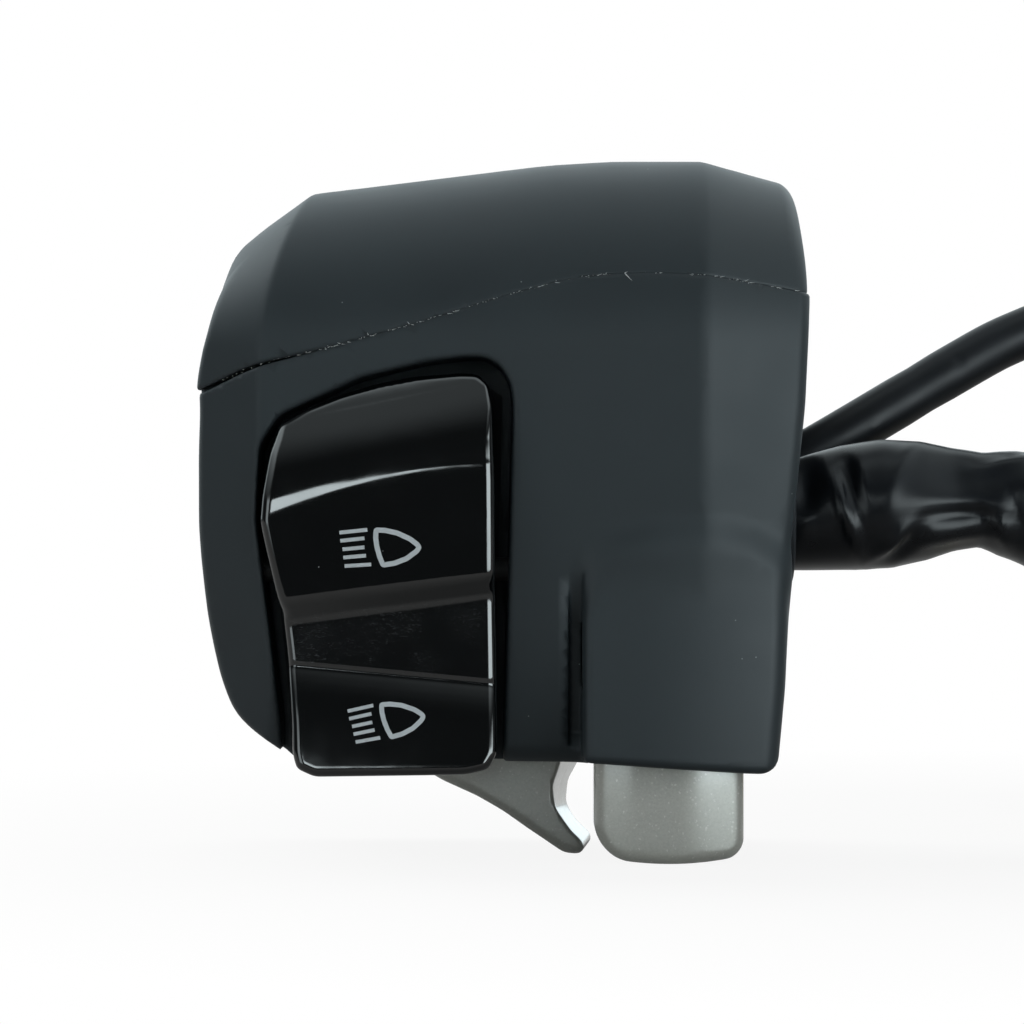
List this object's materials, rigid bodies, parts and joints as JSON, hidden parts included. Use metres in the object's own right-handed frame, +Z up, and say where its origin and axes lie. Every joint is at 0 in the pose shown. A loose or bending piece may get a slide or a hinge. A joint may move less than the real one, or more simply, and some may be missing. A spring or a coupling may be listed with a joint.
{
  "type": "handlebar switch cluster",
  "caption": "Left-hand handlebar switch cluster: two clamped charcoal shells with a gloss main-beam rocker, a turn-signal hook lever, a horn push block and two leads.",
  "frame": {"origin": "on the axis of the handlebar bore, a little left of the middle of its length", "axes": "+X along the bar towards the middle of the bike, -Y towards the rider, +Z up"},
  "size_m": [0.1736, 0.1153, 0.0722],
  "materials": {
    "charcoal_plastic": "fine satin, moulded",
    "gloss_black_plastic": "high gloss",
    "flake_grey_plastic": "silver-grey flake paint under satin lacquer",
    "steel": "zinc plated",
    "brass": "stamped",
    "phenolic": "moulded resin",
    "nylon": "moulded nylon",
    "black_rubber": "matte",
    "black_vinyl": "soft satin vinyl",
    "wire_insulation": "smooth insulation"
  },
  "bodies": {
    "housing": {"upper_shell": "charcoal_plastic", "lower_shell": "charcoal_plastic", "back_cover": "charcoal_plastic", "clamp_screws": "steel", "cover_screws": "steel", "rocker_pivot_pin": "steel", "lever_pivot_pin": "steel", "horn_return_spring": "steel", "thread_inserts": "brass", "beam_terminals": "brass", "signal_terminals": "brass", "horn_terminals": "brass", "beam_switch_base": "phenolic", "signal_switch_base": "phenolic", "horn_switch_base": "phenolic", "harness_connector": "nylon", "lead_connector": "nylon", "rocker_dust_seal": "black_rubber", "harness_grommet": "black_rubber", "lead_grommet": "black_rubber", "harness_sleeve": "black_vinyl", "clutch_lead": "black_vinyl", "beam_wires": "wire_insulation", "signal_wires": "wire_insulation", "horn_wires": "wire_insulation"},
    "beam_rocker": {"beam_rocker": "gloss_black_plastic"},
    "beam_slider": {"beam_slider": "nylon", "beam_contact": "brass", "beam_detent_ball": "steel", "beam_detent_spring": "steel"},
    "signal_lever": {"signal_lever": "flake_grey_plastic"},
    "signal_slider": {"signal_slider": "nylon", "signal_contact": "brass", "signal_detent_ball": "steel", "signal_detent_spring": "steel"},
    "horn_button": {"horn_button": "flake_grey_plastic", "horn_contact": "brass"}
  },
  "joints": [
    {"name": "beam_rock", "type": "hinge", "parent": "housing", "child": "beam_rocker", "pos_m": [0, -0.015, -0.025], "axis": [1, 0, 0], "range_deg": [-6, 6]},
    {"name": "beam_slide", "type": "slide", "parent": "housing", "child": "beam_slider", "axis": [0, 0, 1], "range_m": [-0.0013, 0.0013]},
    {"name": "signal_swing", "type": "hinge", "parent": "housing", "child": "signal_lever", "pos_m": [0, 0, -0.034], "axis": [0, 1, 0], "range_deg": [-10, 10], "stiffness_Nm_per_rad": 0.06},
    {"name": "signal_slide", "type": "slide", "parent": "housing", "child": "signal_slider", "axis": [1, 0, 0], "range_m": [-0.0019, 0.0019]},
    {"name": "horn_push", "type": "slide", "parent": "housing", "child": "horn_button", "axis": [0, 0, 1], "range_m": [0, 0.0025], "stiffness_N_per_m": 600, "springref_m": -0.002, "deforming": ["horn_return_spring"]}
  ],
  "couplings": [
    {"joint": "beam_slide", "follows": "beam_rock", "m_per_rad": 0.0116},
    {"joint": "signal_slide", "follows": "signal_swing", "m_per_rad": 0.0106}
  ]
}
